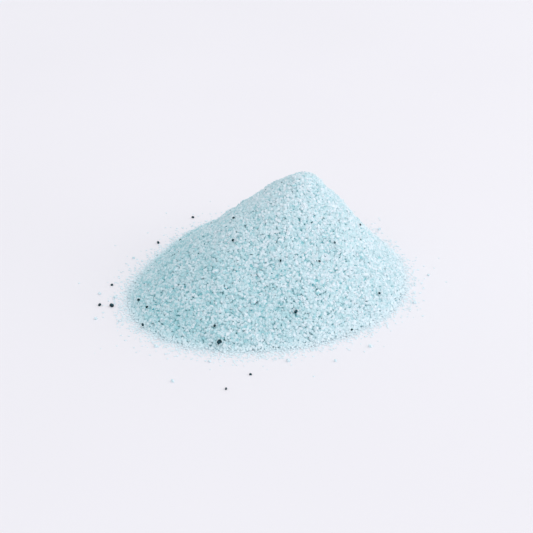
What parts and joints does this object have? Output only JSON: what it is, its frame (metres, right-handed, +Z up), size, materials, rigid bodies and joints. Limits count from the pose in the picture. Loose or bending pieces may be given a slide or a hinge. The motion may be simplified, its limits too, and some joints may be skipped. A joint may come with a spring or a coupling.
{
  "type": "heap of crystals",
  "caption": "Poured cone-shaped heap of pale blue-green salt crystals with dark grains and a scatter of loose crystals round its foot; a chemical sample to set on a bench.",
  "frame": {"origin": "on the surface that the heap stands on, in the middle of the heap's foot, leaving the loose crystals out", "axes": "+Z up, +X towards the side that the peak leans to, +Y towards the back"},
  "size_m": [0.1124, 0.1359, 0.0387],
  "materials": {
    "fine_crystal": "translucent granular salt, satin with small glints",
    "pale_crystal": "translucent whitish crystal, glossy faces",
    "dark_crystal": "dark blue-green crystal, semi-gloss"
  },
  "bodies": {
    "root": {"coarse_crystal_01": "pale_crystal", "coarse_crystal_02": "pale_crystal", "coarse_crystal_03": "pale_crystal", "coarse_crystal_04": "pale_crystal", "coarse_crystal_05": "pale_crystal", "coarse_crystal_06": "pale_crystal", "coarse_crystal_07": "pale_crystal", "coarse_crystal_08": "pale_crystal", "coarse_crystal_09": "pale_crystal", "coarse_crystal_10": "pale_crystal", "coarse_crystal_11": "pale_crystal", "coarse_crystal_12": "pale_crystal", "coarse_crystal_13": "pale_crystal", "coarse_crystal_14": "pale_crystal", "coarse_crystal_15": "pale_crystal", "coarse_crystal_16": "pale_crystal", "dark_grain_01": "dark_crystal", "dark_grain_02": "dark_crystal", "dark_grain_03": "dark_crystal", "dark_grain_04": "dark_crystal", "dark_grain_05": "dark_crystal", "dark_grain_06": "dark_crystal", "dark_grain_07": "dark_crystal", "dark_grain_08": "dark_crystal", "dark_grain_09": "dark_crystal", "dark_grain_10": "dark_crystal", "dark_grain_11": "dark_crystal", "dark_grain_12": "dark_crystal", "dark_grain_13": "dark_crystal", "dark_grain_14": "dark_crystal", "dark_grain_15": "dark_crystal", "dark_grain_16": "dark_crystal", "fine_crystal_bulk": "fine_crystal", "loose_crystal_01": "pale_crystal", "loose_crystal_02": "pale_crystal", "loose_crystal_03": "pale_crystal", "loose_crystal_04": "pale_crystal", "loose_crystal_05": "pale_crystal", "loose_crystal_06": "pale_crystal", "loose_crystal_07": "pale_crystal", "loose_crystal_08": "pale_crystal", "loose_crystal_09": "pale_crystal", "loose_crystal_10": "pale_crystal", "loose_crystal_11": "pale_crystal", "loose_crystal_12": "pale_crystal", "loose_crystal_13": "pale_crystal", "loose_crystal_14": "pale_crystal", "loose_crystal_15": "pale_crystal", "loose_crystal_16": "pale_crystal", "loose_dark_grain_01": "dark_crystal", "loose_dark_grain_02": "dark_crystal", "loose_dark_grain_03": "dark_crystal", "loose_dark_grain_04": "dark_crystal", "loose_dark_grain_05": "dark_crystal", "loose_dark_grain_06": "dark_crystal", "loose_dark_grain_07": "dark_crystal", "loose_dark_grain_08": "dark_crystal"}
  },
  "joints": []
}
